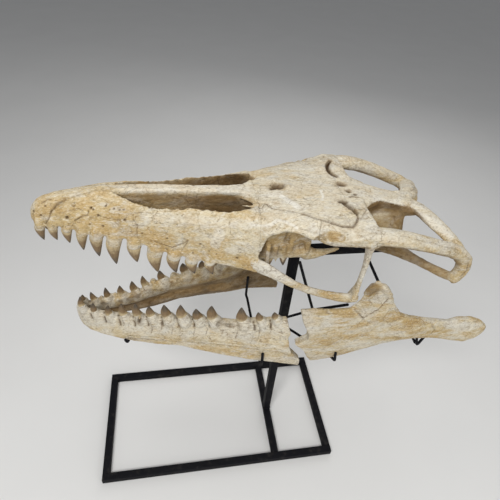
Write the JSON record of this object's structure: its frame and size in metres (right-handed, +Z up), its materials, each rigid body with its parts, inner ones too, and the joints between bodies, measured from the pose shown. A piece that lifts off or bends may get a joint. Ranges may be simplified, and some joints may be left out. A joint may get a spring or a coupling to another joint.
{
  "type": "mosasaur skull fossil",
  "caption": "Life-size fossil skull of a mosasaur with open jaws, its bones held apart on thin rods over a square-tube steel stand with a flat rectangular base.",
  "frame": {"origin": "centre of the bounding box in plan, at the floor under the stand's base", "axes": "+Z up, -X towards the snout, -Y towards the skull's left side"},
  "size_m": [1.005, 0.3408, 0.876],
  "materials": {
    "fossil_bone": "matte mineralised bone, cream to ochre",
    "painted_steel": "satin black paint"
  },
  "bodies": {
    "root": {"braincase": "fossil_bone", "coronoid_left": "fossil_bone", "dentary_left": "fossil_bone", "dentary_right": "fossil_bone", "frontal": "fossil_bone", "jugal_left": "fossil_bone", "jugal_right": "fossil_bone", "maxilla_left": "fossil_bone", "maxilla_right": "fossil_bone", "palatine_left": "fossil_bone", "palatine_right": "fossil_bone", "parietal": "fossil_bone", "paroccipital_left": "fossil_bone", "paroccipital_right": "fossil_bone", "postdentary_left": "fossil_bone", "postorbitofrontal_left": "fossil_bone", "postorbitofrontal_right": "fossil_bone", "prefrontal_left": "fossil_bone", "prefrontal_right": "fossil_bone", "premaxilla": "fossil_bone", "pterygoid_left": "fossil_bone", "pterygoid_right": "fossil_bone", "squamosal_left": "fossil_bone", "squamosal_right": "fossil_bone", "stand_beam": "painted_steel", "stand_coronoid_rod": "painted_steel", "stand_cross_rod": "painted_steel", "stand_cross_tube": "painted_steel", "stand_end_tube": "painted_steel", "stand_far_end_tube": "painted_steel", "stand_front_hook": "painted_steel", "stand_front_tube": "painted_steel", "stand_jaw_arm": "painted_steel", "stand_neck_clip": "painted_steel", "stand_neck_rod": "painted_steel", "stand_palate_rod": "painted_steel", "stand_post": "painted_steel", "stand_rear_hook": "painted_steel", "stand_rear_tube": "painted_steel", "stand_side_arm": "painted_steel"}
  },
  "joints": []
}
